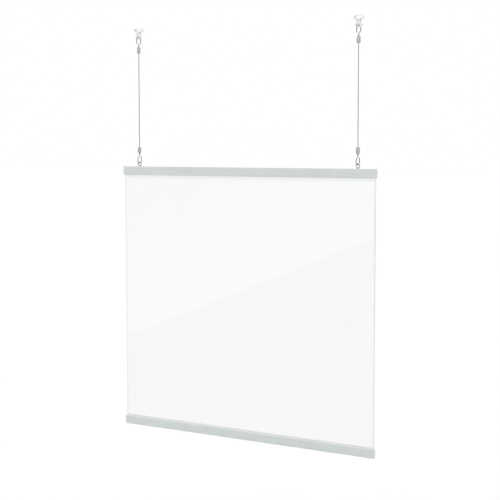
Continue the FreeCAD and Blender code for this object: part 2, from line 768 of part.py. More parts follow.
def build_hangers():
    """Eyelet, hooks, barrels, cable and ceiling clip on each side."""
    upper_way = turned_about((0, 0, 1), -amount("upper_turn"))
    lower_way = turned_about((0, 0, 1), -amount("lower_turn")).multiply(HALF_ABOUT_X)
    fittings = {"upper": (UPPER_FACE, upper_way), "lower": (LOWER_FACE, lower_way)}
    for side_name, side in SIDES.items():
        eyelet(f"{side_name}_eyelet", side)
        cable(f"{side_name}_cable", side)
        for place_name, (level, rotation) in fittings.items():
            stem = f"{side_name}_{place_name}"
            hook(f"{stem}_hook", side, level, rotation)
            barrel(f"{stem}_barrel", side, level, rotation)
            barrel_plug(f"{stem}_plug", side, level, rotation)
            ferrule(f"{stem}_ferrule", side, level, rotation)
        clip_arm(f"{side_name}_clip_front_arm", side, UPRIGHT)
        clip_arm(f"{side_name}_clip_rear_arm", side, HALF_ABOUT_Z)
        clip_pin(f"{side_name}_clip_pin", side)


def check_document():
    """Stop if an object failed, or if a sub-part is empty, broken or not one solid."""
    for item in doc.Objects:
        faults = {"Invalid", "Error"} & set(item.State)
        if faults:
            raise RuntimeError(f"{item.Label}: {sorted(faults)}")
    for item in subparts:
        shape = item.Shape
        if shape.isNull() or not shape.isValid() or len(shape.Solids) != 1:
            raise RuntimeError(f"{item.Label}: shape is not one valid solid")


def write_parts():
    """One STEP file for each sub-part, named by its label."""
    os.makedirs("parts", exist_ok=True)
    for item in subparts:
        item.Shape.exportStep(f"parts/{item.Label}.step")
        print(f"{item.Label}: {item.Shape.Volume:.1f} mm3")


build_rails()
build_hangers()
doc.recompute()
check_document()
write_parts()
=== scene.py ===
"""Looks of the hanging clear screen: sheet, snap rails, cable hangers, ceiling clips and studio."""

import json
import logging
import math
from dataclasses import dataclass
from enum import Enum

import bpy
import numpy as np
from mathutils import Matrix, Vector


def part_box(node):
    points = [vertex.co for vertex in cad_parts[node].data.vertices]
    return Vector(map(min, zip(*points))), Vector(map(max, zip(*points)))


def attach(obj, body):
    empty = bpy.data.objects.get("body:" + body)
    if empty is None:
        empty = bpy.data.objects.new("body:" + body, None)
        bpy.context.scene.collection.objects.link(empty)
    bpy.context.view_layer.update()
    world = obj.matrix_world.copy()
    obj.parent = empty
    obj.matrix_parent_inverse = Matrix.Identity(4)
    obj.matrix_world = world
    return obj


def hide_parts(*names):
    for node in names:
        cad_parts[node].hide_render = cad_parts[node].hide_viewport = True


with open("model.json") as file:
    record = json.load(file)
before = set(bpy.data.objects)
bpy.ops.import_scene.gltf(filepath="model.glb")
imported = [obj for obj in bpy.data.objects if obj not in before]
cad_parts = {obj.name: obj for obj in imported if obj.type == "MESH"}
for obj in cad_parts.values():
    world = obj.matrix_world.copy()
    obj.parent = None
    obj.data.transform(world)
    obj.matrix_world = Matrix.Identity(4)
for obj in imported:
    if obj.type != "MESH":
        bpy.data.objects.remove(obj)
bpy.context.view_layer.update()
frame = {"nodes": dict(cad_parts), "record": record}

LOG = logging.getLogger("hanging_screen")
MM = 0.001
PICTURE_PIXELS = 500.0
SMOOTH_ANGLE = math.radians(35.0)
NOISE_LOW = 0.3
NOISE_HIGH = 0.7

Triple = tuple[float, float, float]
Colour = Triple
Socket = bpy.types.NodeSocket

# Painted highlight: a pale colour mixed into faces that look up, as if lit from above, by the normal's
# upward part between the two levels below.
PAINTED_TOP_LIGHT_COLOUR: Colour = (0.93, 0.935, 0.935)
PAINTED_TOP_LIGHT_STEEP = 0.15
PAINTED_TOP_LIGHT_LEVEL = 0.8


class Side(Enum):
    """Which of the two hangers."""

    LEFT = "left"
    RIGHT = "right"


class End(Enum):
    """Which end of a cable."""

    UPPER = "upper"
    LOWER = "lower"


class Grain(Enum):
    """How the fine lines of a metal run: the stretch of the noise along X, Y and Z, per metre."""

    EXTRUDED = (6.0, 2600.0, 2600.0)
    TURNED = (90.0, 90.0, 5200.0)
    DRAWN = (1500.0, 1500.0, 160.0)
    CAST = (900.0, 900.0, 900.0)


class NodeSheet:
    """Node tree of a material or of the world, with short calls that add nodes and join them."""

    def __init__(self, owner: bpy.types.Material | bpy.types.World) -> None:
        """Start on the shader and the output that a new tree has.

        Args:
            owner: the new material or world.
        """
        owner.use_nodes = True
        self.owner = owner
        self.tree = owner.node_tree
        self.shader = next(node for node in self.tree.nodes if node.outputs)
        self.output = next(node for node in self.tree.nodes if not node.outputs)

    def add(self, kind: str, **settings: object) -> bpy.types.Node:
        """Add a node.

        Args:
            kind: Blender's name of the node type.
            settings: the node's own properties.

        Returns:
            The new node.
        """
        node = self.tree.nodes.new(kind)
        for key, value in settings.items():
            setattr(node, key, value)
        return node

    def join(self, source: Socket, target: Socket) -> None:
        """Join an output to an input."""
        self.tree.links.new(source, target)

    def larger(self, one: Socket, other: Socket) -> Socket:
        """The larger of two values.

        Args:
            one: a value's output.
            other: another value's output.

        Returns:
            The result's output.
        """
        node = self.add("ShaderNodeMath", operation="MAXIMUM")
        self.join(one, node.inputs[0])
        self.join(other, node.inputs[1])
        return node.outputs["Value"]

    def place(self, stretch: Triple) -> Socket:
        """Object coordinates, stretched by a factor along each axis.

        Args:
            stretch: factors along X, Y and Z, so that one unit is one cell of a pattern.

        Returns:
            The vector output.
        """
        coords = self.add("ShaderNodeTexCoord")
        mapping = self.add("ShaderNodeMapping")
        mapping.inputs["Scale"].default_value = stretch
        self.join(coords.outputs["Object"], mapping.inputs["Vector"])
        return mapping.outputs["Vector"]

    def noise(self, stretch: Triple, detail: float) -> Socket:
        """Noise on stretched Object coordinates.

        Args:
            stretch: cells per metre along X, Y and Z.
            detail: octaves of finer noise.

        Returns:
            The noise's value output.
        """
        texture = self.add("ShaderNodeTexNoise")
        texture.inputs["Scale"].default_value = 1.0
        texture.inputs["Detail"].default_value = detail
        self.join(self.place(stretch), texture.inputs["Vector"])
        return texture.outputs["Fac"]

    def spread(self, value: Socket, low: float, high: float) -> Socket:
        """Stretch the middle of a noise over a range of numbers.

        Args:
            value: noise near 0.5.
            low: result where the noise is NOISE_LOW.
            high: result where the noise is NOISE_HIGH.

        Returns:
            The result's output.
        """
        ranger = self.add("ShaderNodeMapRange")
        ranger.inputs["From Min"].default_value = NOISE_LOW
        ranger.inputs["From Max"].default_value = NOISE_HIGH
        ranger.inputs["To Min"].default_value = low
        ranger.inputs["To Max"].default_value = high
        self.join(value, ranger.inputs["Value"])
        return ranger.outputs["Result"]

    def tone(self, value: Socket, dark: Colour, light: Colour) -> Socket:
        """Colour between two tones, led by a noise.

        Args:
            value: noise near 0.5.
            dark: colour where the noise is low.
            light: colour where the noise is high.

        Returns:
            The colour output.
        """
        ramp = self.add("ShaderNodeValToRGB")
        first, last = ramp.color_ramp.elements
        first.position = NOISE_LOW
        first.color = (*dark, 1.0)
        last.position = NOISE_HIGH
        last.color = (*light, 1.0)
        self.join(value, ramp.inputs["Fac"])
        return ramp.outputs["Color"]

    def relief(self, height: Socket, depth: float, strength: float) -> Socket:
        """Bump from a height.

        Args:
            height: the height's output.
            depth: distance in metres that a height of 1 stands for.
            strength: share of the bump that shows.

        Returns:
            The normal output.
        """
        bump = self.add("ShaderNodeBump")
        bump.inputs["Distance"].default_value = depth
        bump.inputs["Strength"].default_value = strength
        self.join(height, bump.inputs["Height"])
        return bump.outputs["Normal"]

    def painted_top_light_mix(self, own_colour: Socket, share: float) -> Socket:
        """Painted highlight on faces that look up: a pale colour mixed in by the upward part of the face's
        normal.

        Args:
            own_colour: colour without the painted highlight.
            share: how much of the painted highlight shows where the normal's upward part is
                PAINTED_TOP_LIGHT_LEVEL or more; it dies out at PAINTED_TOP_LIGHT_STEEP.

        Returns:
            The colour output.
        """
        # Painted highlight: the pale colour is mixed in by how far the face's normal points up.
        coords = self.add("ShaderNodeTexCoord")
        parts = self.add("ShaderNodeSeparateXYZ")
        ranger = self.add("ShaderNodeMapRange", interpolation_type="SMOOTHSTEP")
        ranger.inputs["From Min"].default_value = PAINTED_TOP_LIGHT_STEEP
        ranger.inputs["From Max"].default_value = PAINTED_TOP_LIGHT_LEVEL
        ranger.inputs["To Max"].default_value = share
        mix = self.add("ShaderNodeMix", data_type="RGBA")
        mix.inputs["B"].default_value = (*PAINTED_TOP_LIGHT_COLOUR, 1.0)
        self.join(coords.outputs["Normal"], parts.inputs["Vector"])
        self.join(parts.outputs["Z"], ranger.inputs["Value"])
        self.join(ranger.outputs["Result"], mix.inputs["Factor"])
        self.join(own_colour, mix.inputs["A"])
        return mix.outputs["Result"]

    def seen_rays(self) -> Socket:
        """Rays by which the surroundings are seen.

        Returns:
            1 for rays of the camera, of gloss and through glass, and 0 for other light.
        """
        path = self.add("ShaderNodeLightPath")
        straight = self.larger(path.outputs["Is Camera Ray"], path.outputs["Is Glossy Ray"])
        return self.larger(straight, path.outputs["Is Transmission Ray"])


def new_sheet(name: str) -> NodeSheet:
    """Node sheet of a new material."""
    return NodeSheet(bpy.data.materials.new(name))


def scaled(colour: Colour, factor: float) -> Colour:
    """Colour times a factor."""
    return tuple(factor * part for part in colour)


@dataclass(frozen=True)
class MetalFinish:
    """Metal with fine lines along its grain, faint tarnish, a bump of the lines, and a painted highlight on
    upward faces if any.
    """

    name: str
    colour: Colour
    grain: Grain
    metallic: float = 1.0
    roughness: tuple[float, float] = (0.25, 0.4)
    contrast: float = 0.06
    tarnish: float = 0.05
    tarnish_cells: float = 40.0
    octaves: float = 4.0
    depth: float = 0.01 * MM
    strength: float = 0.4
    painted_top_light: float = 0.0

    def material(self) -> bpy.types.Material:
        """Make the material: lines shade the colour, and slow noise tarnishes and roughens it.

        Returns:
            The material.
        """
        sheet = new_sheet(self.name)
        lines = sheet.noise(self.grain.value, self.octaves)
        cloud = sheet.noise((self.tarnish_cells,) * 3, self.octaves)
        tone = sheet.tone(
            lines, scaled(self.colour, 1.0 - self.contrast), scaled(self.colour, 1.0 + self.contrast)
        )
        veil = sheet.tone(cloud, (1.0 - self.tarnish,) * 3, (1.0, 1.0, 1.0))
        mix = sheet.add("ShaderNodeMix", data_type="RGBA", blend_type="MULTIPLY")
        mix.inputs["Factor"].default_value = 1.0
        sheet.join(tone, mix.inputs["A"])
        sheet.join(veil, mix.inputs["B"])
        own_colour = mix.outputs["Result"]
        # Painted highlight on upward faces, where a share is set.
        colour = sheet.painted_top_light_mix(own_colour, self.painted_top_light) if self.painted_top_light else own_colour
        sheet.join(colour, sheet.shader.inputs["Base Color"])
        low, high = self.roughness
        sheet.join(sheet.spread(cloud, low, high), sheet.shader.inputs["Roughness"])
        sheet.join(sheet.relief(lines, self.depth, self.strength), sheet.shader.inputs["Normal"])
        sheet.shader.inputs["Metallic"].default_value = self.metallic
        return sheet.owner


@dataclass(frozen=True)
class MouldedFinish:
    """Moulded plastic or rubber: fine grain, slow flow marks, a painted highlight on upward faces if any,
    light inside if milky.
    """

    name: str
    colour: Colour
    roughness: tuple[float, float]
    grain_cells: float
    depth: float
    contrast: float = 0.03
    milkiness: float = 0.0
    milk_depth: float = 4.0 * MM
    refraction: float = 1.49
    flow_cells: Triple = (220.0, 220.0, 90.0)
    flow_octaves: float = 4.0
    grain_octaves: float = 2.0
    strength: float = 0.35
    painted_top_light: float = 0.0

    def material(self) -> bpy.types.Material:
        """Make the material: flow marks shade the colour and roughness, fine grain makes the bump.

        Returns:
            The material.
        """
        sheet = new_sheet(self.name)
        flow = sheet.noise(self.flow_cells, self.flow_octaves)
        grain = sheet.noise((self.grain_cells,) * 3, self.grain_octaves)
        tone = sheet.tone(
            flow, scaled(self.colour, 1.0 - self.contrast), scaled(self.colour, 1.0 + self.contrast)
        )
        # Painted highlight on upward faces, where a share is set.
        colour = sheet.painted_top_light_mix(tone, self.painted_top_light) if self.painted_top_light else tone
        low, high = self.roughness
        sheet.join(colour, sheet.shader.inputs["Base Color"])
        sheet.join(sheet.spread(flow, low, high), sheet.shader.inputs["Roughness"])
        sheet.join(sheet.relief(grain, self.depth, self.strength), sheet.shader.inputs["Normal"])
        sheet.shader.inputs["Subsurface Weight"].default_value = self.milkiness
        sheet.shader.inputs["Subsurface Radius"].default_value = (1.0, 1.0, 1.0)
        sheet.shader.inputs["Subsurface Scale"].default_value = self.milk_depth
        sheet.shader.inputs["IOR"].default_value = self.refraction
        return sheet.owner


@dataclass(frozen=True)
class ClearFinish:
    """Clear sheet: slow haze, painted shade as a darker tint next to the rails, and cut edges that are
    tinted darker and hazier.
    """

    name: str
    node: str = "clear_panel"
    colour: Colour = (0.951, 0.9505, 0.951)
    # Darker tint: painted shade next to the rails, and also the darker tint at the cut edges.
    shade_and_edge_tint: Colour = (0.82, 0.824, 0.826)
    refraction: float = 1.49
    roughness: tuple[float, float] = (0.0, 0.015)
    frost: float = 0.4
    haze_cells: Triple = (9.0, 9.0, 14.0)
    haze_octaves: float = 5.0
    # Reach of the painted shade above the bottom rail and below the top rail.
    painted_shade_above: float = 8.0 * MM
    painted_shade_below: float = 16.0 * MM
    cut_edge: float = 8.0 * MM

    def material(self) -> bpy.types.Material:
        """Make the material: the tint deepens towards the rails, as painted shade, and towards the cut
        edges, and noise leads the haze.

        Returns:
            The material.
        """
        sheet = new_sheet(self.name)
        coords = sheet.add("ShaderNodeTexCoord")
        parts = sheet.add("ShaderNodeSeparateXYZ")
        sheet.join(coords.outputs["Object"], parts.inputs["Vector"])
        left, right = (corner.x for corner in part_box(self.node))
        cut = sheet.larger(
            self.fade(sheet, parts.outputs["X"], left, self.cut_edge),
            self.fade(sheet, parts.outputs["X"], right, self.cut_edge),
        )
        # Painted shade: the sheet is tinted darker under the top rail and above the bottom rail.
        painted_rail_shade = sheet.larger(
            self.fade(sheet, parts.outputs["Z"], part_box("top_rail_back")[0].z, self.painted_shade_below),
            self.fade(sheet, parts.outputs["Z"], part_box("bottom_rail_back")[1].z, self.painted_shade_above),
        )
        ramp = sheet.add("ShaderNodeValToRGB")
        ramp.color_ramp.interpolation = "EASE"
        first, last = ramp.color_ramp.elements
        first.color = (*self.colour, 1.0)
        last.color = (*self.shade_and_edge_tint, 1.0)
        sheet.join(sheet.larger(cut, painted_rail_shade), ramp.inputs["Fac"])
        sheet.join(ramp.outputs["Color"], sheet.shader.inputs["Base Color"])
        low, high = self.roughness
        haze = sheet.noise(self.haze_cells, self.haze_octaves)
        frosted = sheet.add("ShaderNodeMath", operation="MULTIPLY_ADD")
        frosted.inputs[1].default_value = self.frost
        sheet.join(cut, frosted.inputs[0])
        sheet.join(sheet.spread(haze, low, high), frosted.inputs[2])
        sheet.join(frosted.outputs["Value"], sheet.shader.inputs["Roughness"])
        sheet.shader.inputs["Transmission Weight"].default_value = 1.0
        sheet.shader.inputs["IOR"].default_value = self.refraction
        return sheet.owner

    @staticmethod
    def fade(sheet: NodeSheet, level: Socket, edge: float, reach: float) -> Socket:
        """Share of the darker tint by the distance from an edge.

        Args:
            sheet: the node tree.
            level: the point's coordinate across the edge.
            edge: the edge's own coordinate.
            reach: distance over which the tint dies out.

        Returns:
            1 at the edge, 0 beyond the reach.
        """
        offset = sheet.add("ShaderNodeMath", operation="SUBTRACT")
        offset.inputs[1].default_value = edge
        away = sheet.add("ShaderNodeMath", operation="ABSOLUTE")
        ranger = sheet.add("ShaderNodeMapRange")
        ranger.inputs["From Max"].default_value = reach
        ranger.inputs["To Min"].default_value = 1.0
        ranger.inputs["To Max"].default_value = 0.0
        sheet.join(level, offset.inputs[0])
        sheet.join(offset.outputs["Value"], away.inputs[0])
        sheet.join(away.outputs["Value"], ranger.inputs["Value"])
        return ranger.outputs["Result"]


# The rails' upward faces get a painted highlight.
RAIL_ALUMINIUM = MetalFinish(
    "rail_aluminium", (0.672, 0.710, 0.713), Grain.EXTRUDED, metallic=0.5, roughness=(0.5, 0.6), painted_top_light=0.7
)
EYELET_ZINC = MetalFinish(
    "eyelet_zinc", (0.43, 0.435, 0.44), Grain.CAST, roughness=(0.26, 0.42), contrast=0.1, depth=0.03 * MM
)
HOOK_NICKEL = MetalFinish(
    "hook_nickel", (0.33, 0.335, 0.34), Grain.DRAWN, roughness=(0.16, 0.28), contrast=0.08
)
BARREL_NICKEL = MetalFinish(
    "barrel_nickel", (0.47, 0.475, 0.48), Grain.TURNED, roughness=(0.24, 0.36), contrast=0.14
)
CABLE_STEEL = MetalFinish(
    "cable_steel", (0.45, 0.455, 0.46), Grain.DRAWN, roughness=(0.24, 0.36), contrast=0.1
)
FERRULE_ALUMINIUM = MetalFinish(
    "ferrule_aluminium", (0.60, 0.60, 0.61), Grain.CAST, roughness=(0.35, 0.5), contrast=0.1
)
# The caps' upward faces get a painted highlight.
CAP_PLASTIC = MouldedFinish(
    "cap_plastic", (0.72, 0.75, 0.755), (0.42, 0.55), 2600.0, 0.04 * MM, painted_top_light=0.7
)
GRIP_RUBBER = MouldedFinish("grip_rubber", (0.28, 0.285, 0.29), (0.6, 0.8), 1800.0, 0.06 * MM)
CLIP_PLASTIC = MouldedFinish(
    "clip_plastic", (0.875, 0.878, 0.88), (0.34, 0.46), 1400.0, 0.02 * MM, milkiness=0.3
)
PIN_PLASTIC = MouldedFinish(
    "pin_plastic", (0.84, 0.843, 0.846), (0.3, 0.42), 1400.0, 0.02 * MM, milkiness=0.3
)
CLEAR_SHEET = ClearFinish("clear_sheet")


class Shell:
    """Points and faces of one mesh, gathered from grids of rings."""

    def __init__(self) -> None:
        """Start with no points."""
        self.points: list[np.ndarray] = []
        self.faces: list[list[int]] = []
        self.count = 0

    def add_rings(self, rings: np.ndarray, looped: bool = False) -> None:
        """Add quads between neighbouring rings, and close the ends or join the last ring to the first.

        Args:
            rings: points, as ring by column by XYZ; columns turn to the right seen along the rings.
            looped: whether the last ring joins the first.
        """
        rows, columns, _ = rings.shape
        here = self.count + np.arange(rows * columns).reshape(rows, columns)
        after = np.roll(here, -1, axis=1)
        quads = np.stack(
            [here, after, np.roll(after, -1, axis=0), np.roll(here, -1, axis=0)], axis=2
        )
        if looped:
            self.faces += quads.reshape(-1, 4).tolist()
        else:
            self.faces += quads[:-1].reshape(-1, 4).tolist()
            self.faces.append(here[0, ::-1].tolist())
            self.faces.append(here[-1].tolist())
        self.points.append(rings.reshape(-1, 3))
        self.count += rows * columns

    def make(self, name: str) -> bpy.types.Object:
        """Put the mesh into an object at the origin.

        Args:
            name: the piece's name.

        Returns:
            The object, shaded smooth up to SMOOTH_ANGLE.
        """
        mesh = bpy.data.meshes.new(name)
        mesh.from_pydata(np.concatenate(self.points).tolist(), [], self.faces)
        mesh.shade_smooth()
        mesh.set_sharp_from_angle(angle=SMOOTH_ANGLE)
        mesh.validate()
        piece = bpy.data.objects.new(name, mesh)
        bpy.context.scene.collection.objects.link(piece)
        return piece


def body_of(node: str) -> str:
    """Name of the body that carries a CAD node."""
    groups = frame["record"]["behaviour"]["bodies"]
    return next(body for body, members in groups.items() if node in members)


def paint(piece: bpy.types.Object, material: bpy.types.Material) -> None:
    """Give a piece one material.

    Args:
        piece: a CAD node's object, or a new piece.
        material: its finish.
    """
    if not piece.material_slots:
        piece.data.materials.append(material)
    for holder in piece.material_slots:
        holder.material = material
    LOG.info("%s: %s", piece.name, material.name)


def stand_for(piece: bpy.types.Object, node: str) -> None:
    """Let a new piece take a CAD node's place and body, and hide the node.

    Args:
        piece: the new piece.
        node: the CAD node that it replaces.
    """
    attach(piece, body_of(node))
    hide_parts(node)
    LOG.info("%s: %d faces, stands for %s", piece.name, len(piece.data.polygons), node)


def arc(centre: tuple[float, float], radius: float, start: float, end: float, steps: int) -> np.ndarray:
    """Points of a circular arc: centre + radius (cos a, sin a), for a from start to end.

    Args:
        centre: the circle's centre.
        radius: its radius.
        start: first angle, in degrees.
        end: last angle, in degrees.
        steps: number of points.

    Returns:
        The points, as rows.
    """
    angle = np.radians(np.linspace(start, end, steps))
    return np.column_stack([centre[0] + radius * np.cos(angle), centre[1] + radius * np.sin(angle)])


def distances(line: np.ndarray) -> np.ndarray:
    """Distance along a line to each of its points.

    Args:
        line: points, as rows.

    Returns:
        The distances, from 0 at the first point.
    """
    steps = np.linalg.norm(np.diff(line, axis=0), axis=1)
    return np.concatenate([[0.0], np.cumsum(steps)])


def read_along(station: np.ndarray, reach: np.ndarray, rows: np.ndarray) -> np.ndarray:
    """Rows read at distances along a line, straight between the given ones.

    Args:
        station: distances to read at.
        reach: distance of each given row.
        rows: the given rows.

    Returns:
        One row for each station.
    """
    return np.column_stack([np.interp(station, reach, column) for column in rows.T])


@dataclass
class ClearScreen:
    """The clear sheet between the rails, in metres."""

    node: str = "clear_panel"
    columns: int = 150
    rows: int = 130
    edge_steps: int = 7
    wave_height: float = 0.02 * MM
    wave_across: float = 0.31
    wave_up: float = 0.24

    def build(self) -> bpy.types.Object:
        """Build the sheet as its outline carried upwards.

        Outline: a straight front, a half-round edge, a straight back and a half-round edge. Each
        level of it is shifted in y by h sin(2 pi x / a) sin(2 pi z / c) sin(pi t), a faint wave that
        dies out at the rails, where t goes from 0 to 1 up the sheet.

        Returns:
            The sheet's object.
        """
        low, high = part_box(self.node)
        half = (high.y - low.y) / 2
        middle = (high.y + low.y) / 2
        across = np.linspace(low.x + half, high.x - half, self.columns)
        front = np.column_stack([across, np.full_like(across, -half)])
        back = front[::-1] * (1.0, -1.0)
        right = arc((high.x - half, 0.0), half, -90.0, 90.0, self.edge_steps)[1:-1]
        left = arc((low.x + half, 0.0), half, 90.0, 270.0, self.edge_steps)[1:-1]
        outline = np.concatenate([front, right, back, left])
        share = np.linspace(0.0, 1.0, self.rows)
        level = (low.z + share * (high.z - low.z))[:, None]
        along = np.broadcast_to(outline[:, 0], (self.rows, len(outline)))
        wave = (
            self.wave_height
            * np.sin(2 * np.pi * along / self.wave_across)
            * np.sin(2 * np.pi * level / self.wave_up)
            * np.sin(np.pi * share)[:, None]
        )
        depth = middle + outline[:, 1] + wave
        shell = Shell()
        shell.add_rings(np.stack([along, depth, np.broadcast_to(level, along.shape)], axis=2))
        return shell.make("sheet_clear")

    def dress(self) -> None:
        """Build the sheet, give it its finish and let it stand for the CAD panel."""
        sheet = self.build()
        paint(sheet, CLEAR_SHEET.material())
        stand_for(sheet, self.node)


@dataclass
class SnapRails:
    """Both snap rails with their strips and caps, which keep their CAD shapes."""

    rails: tuple[str, ...] = ("top_rail", "bottom_rail")

    def dress(self) -> None:
        """Give the extrusions, strips and caps their finishes."""
        finishes = {
            RAIL_ALUMINIUM.material(): ("back", "front"),
            GRIP_RUBBER.material(): ("back_grip", "front_grip"),
            CAP_PLASTIC.material(): ("left_cap", "right_cap"),
        }
        for material, parts in finishes.items():
            for rail in self.rails:
                for part in parts:
                    paint(frame["nodes"][f"{rail}_{part}"], material)


@dataclass
class WireHook:
    """Wire hook in its barrel's frame, in metres: y sideways, z away from the cable."""

    wire: float = 1.5 * MM
    head: float = 2.7 * MM
    head_thick: float = 2.0 * MM
    head_edge: float = 0.1 * MM
    head_draw: float = 0.216 * MM
    shank_in: float = 7.05 * MM
    straight: float = 6.0 * MM
    sweep: float = 12.0 * MM
    side: float = 7.3 * MM
    bend: float = 7.0 * MM
    tip_side: float = 8.0 * MM
    tip_bend: float = 14.0 * MM
    tip_angle: float = 28.0
    tip_round: float = 0.9 * MM
    tip_steps: int = 9
    arc_steps: int = 40
    rows: int = 220
    fine_rows: int = 1320
    sides: int = 28

    def line(self) -> np.ndarray:
        """Middle line of the wire: shank, S-shaped sweep, round bend, tip side and a tip that leans in.

        Returns:
            Points (y, z) along it.
        """
        sweep_bend = (self.sweep**2 + self.bend**2) / (4 * self.bend)
        turn = math.degrees(math.asin(self.sweep / 2 / sweep_bend))
        shoulder = self.straight + self.sweep
        crown = shoulder + self.side
        tip = crown - self.tip_side
        lean_middle = (self.tip_bend - self.bend, tip)
        return np.concatenate(
            [
                [(0.0, -self.shank_in)],
                arc((sweep_bend, self.straight), sweep_bend, 180.0, 180.0 - turn, self.arc_steps),
                arc((self.bend - sweep_bend, shoulder), sweep_bend, -turn, 0.0, self.arc_steps)[1:],
                arc((0.0, crown), self.bend, 0.0, 180.0, 2 * self.arc_steps),
                arc(lean_middle, self.tip_bend, 180.0, 180.0 + self.tip_angle, self.arc_steps),
            ]
        )

    def rings(self) -> np.ndarray:
        """Round wire carried along its middle line, with a flat head and a rounded tip.

        Ring point: line(s) + r(s) (cos a n(s) + sin a b), where n is square to the line in its
        plane, b is square to the plane, and r is the head's radius, then the wire's, then a quarter
        round at the tip.

        Returns:
            Points as ring by column by XYZ, in the barrel's frame.
        """
        line = self.line()
        reach = distances(line)
        total = reach[-1]
        neck = self.head_thick
        quarter = np.linspace(0.0, math.pi / 2, self.tip_steps)
        tip_from = total - self.tip_round
        body = np.linspace(neck, tip_from, self.rows)
        head_from = [0.0, self.head_edge, neck - self.head_edge, neck]
        head_end = self.head - self.head_draw
        station = np.concatenate([head_from, body, tip_from + self.tip_round * np.sin(quarter)[1:]])
        radius = np.concatenate(
            [
                [head_end, self.head, self.head, head_end],
                np.full(self.rows, self.wire),
                self.wire - self.tip_round * (1.0 - np.cos(quarter))[1:],
            ]
        )
        spot = read_along(station, reach, line)
        fine = np.linspace(0.0, total, self.fine_rows)
        ahead = read_along(station, fine, np.gradient(read_along(fine, reach, line), axis=0))
        ahead /= np.linalg.norm(ahead, axis=1, keepdims=True)
        angle = np.linspace(0.0, 2 * np.pi, self.sides, endpoint=False)
        out = radius[:, None] * np.cos(angle)
        y = spot[:, :1] - ahead[:, 1:] * out
        z = spot[:, 1:] + ahead[:, :1] * out
        x = radius[:, None] * np.sin(angle)
        return np.stack([x, y, z], axis=2)


@dataclass
class EndBarrel:
    """Turned barrel in its own frame, in metres: z is 0 at the hook's side, and the cable is below."""

    outer: float = 6.0 * MM
    edge: float = 1.0 * MM
    length: float = 19.0 * MM
    plug: float = 4.0 * MM
    plug_depth: float = 5.0 * MM
    chamber: float = 3.4 * MM
    end_wall: float = 5.0 * MM
    bore: float = 1.65 * MM
    groove_depth: float = 0.35 * MM
    groove_wide: float = 0.9 * MM
    groove_inset: float = 3.4 * MM
    face_ring: float = 3.0 * MM
    groove_steps: int = 9
    edge_steps: int = 8
    sides: int = 72

    def groove(self, level: float) -> np.ndarray:
        """Round-bottomed groove: r = R - d (1 + cos(2 pi t)) / 2 across its width, for t from -1/2 to 1/2.

        Args:
            level: z of its middle.

        Returns:
            Points (r, z), upwards.
        """
        share = np.linspace(-0.5, 0.5, self.groove_steps)
        cut = self.groove_depth * (1.0 + np.cos(2 * np.pi * share)) / 2
        return np.column_stack([self.outer - cut, level + share * self.groove_wide])

    def rings(self) -> np.ndarray:
        """Section turned about the cable's line: (r cos a, r sin a, z).

        Returns:
            Points as ring by column by XYZ; the rings loop round the wall.
        """
        bottom = -self.length
        inner = bottom + self.end_wall
        shoulder = self.outer - self.edge
        section = np.concatenate(
            [
                [(self.bore, bottom), (self.face_ring, bottom)],
                arc((shoulder, bottom + self.edge), self.edge, -90.0, 0.0, self.edge_steps),
                self.groove(bottom + self.groove_inset),
                self.groove(-self.groove_inset),
                arc((shoulder, -self.edge), self.edge, 0.0, 90.0, self.edge_steps),
                [(self.plug, 0.0), (self.plug, -self.plug_depth), (self.chamber, -self.plug_depth)],
                [(self.chamber, inner), (self.bore, inner)],
            ]
        )
        angle = np.linspace(0.0, 2 * np.pi, self.sides, endpoint=False)
        radius = section[:, :1]
        level = np.broadcast_to(section[:, 1:], (len(section), self.sides))
        return np.stack([radius * np.cos(angle), radius * np.sin(angle), level], axis=2)


